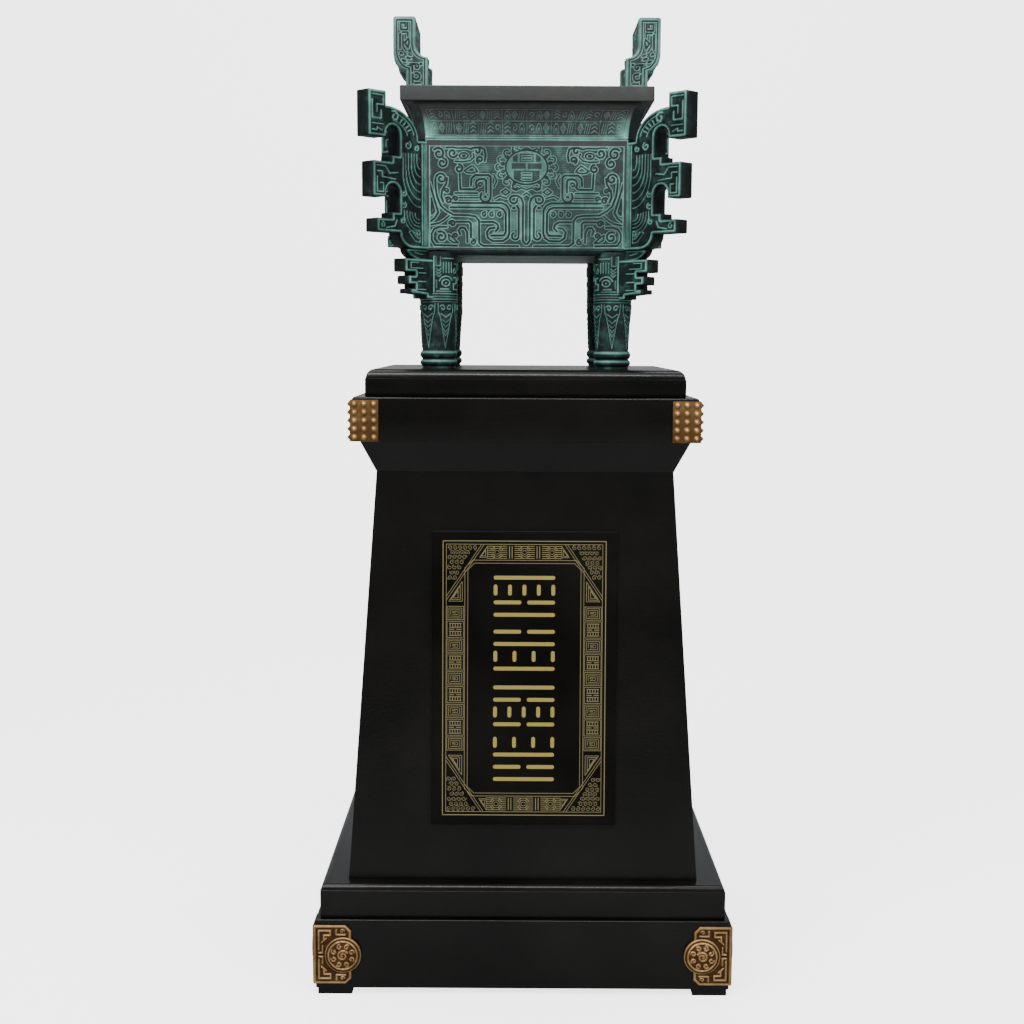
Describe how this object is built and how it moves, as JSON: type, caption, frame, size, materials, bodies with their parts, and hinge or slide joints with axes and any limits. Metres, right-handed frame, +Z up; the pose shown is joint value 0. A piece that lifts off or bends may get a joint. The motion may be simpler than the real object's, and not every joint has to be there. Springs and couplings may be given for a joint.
{
  "type": "bronze ding vessel on pedestal",
  "caption": "Rectangular four-legged bronze cauldron with upright ear handles and hooked corner flanges, on a tapering lacquered pedestal with gilt corner fittings.",
  "frame": {"origin": "centre of the base's underside, on the floor under the four feet", "axes": "+Z up, front with the panel towards -Y, +X to the viewer's right"},
  "size_m": [0.6524, 0.5494, 1.5024],
  "materials": {
    "patinated_bronze": "dark cast bronze with green patina on the raised lines, satin",
    "black_lacquer": "black lacquer over wood, semi-gloss with a fine orange peel",
    "panel_lacquer": "black lacquer over wood with gold lines, satin",
    "gilt_bronze": "gold-brown cast fittings with darker hollows, semi-gloss"
  },
  "bodies": {
    "root": {"ding_vessel": "patinated_bronze", "pedestal_top_slab": "black_lacquer", "pedestal_frieze": "black_lacquer", "pedestal_shaft": "black_lacquer", "inscription_panel": "panel_lacquer", "pedestal_step": "black_lacquer", "pedestal_base_block": "black_lacquer", "foot_front_left": "black_lacquer", "foot_front_right": "black_lacquer", "foot_rear_left": "black_lacquer", "foot_rear_right": "black_lacquer", "studded_corner_front_left": "gilt_bronze", "studded_corner_front_right": "gilt_bronze", "studded_corner_rear_left": "gilt_bronze", "studded_corner_rear_right": "gilt_bronze", "bossed_corner_front_left": "gilt_bronze", "bossed_corner_front_right": "gilt_bronze", "bossed_corner_rear_left": "gilt_bronze", "bossed_corner_rear_right": "gilt_bronze"}
  },
  "joints": []
}
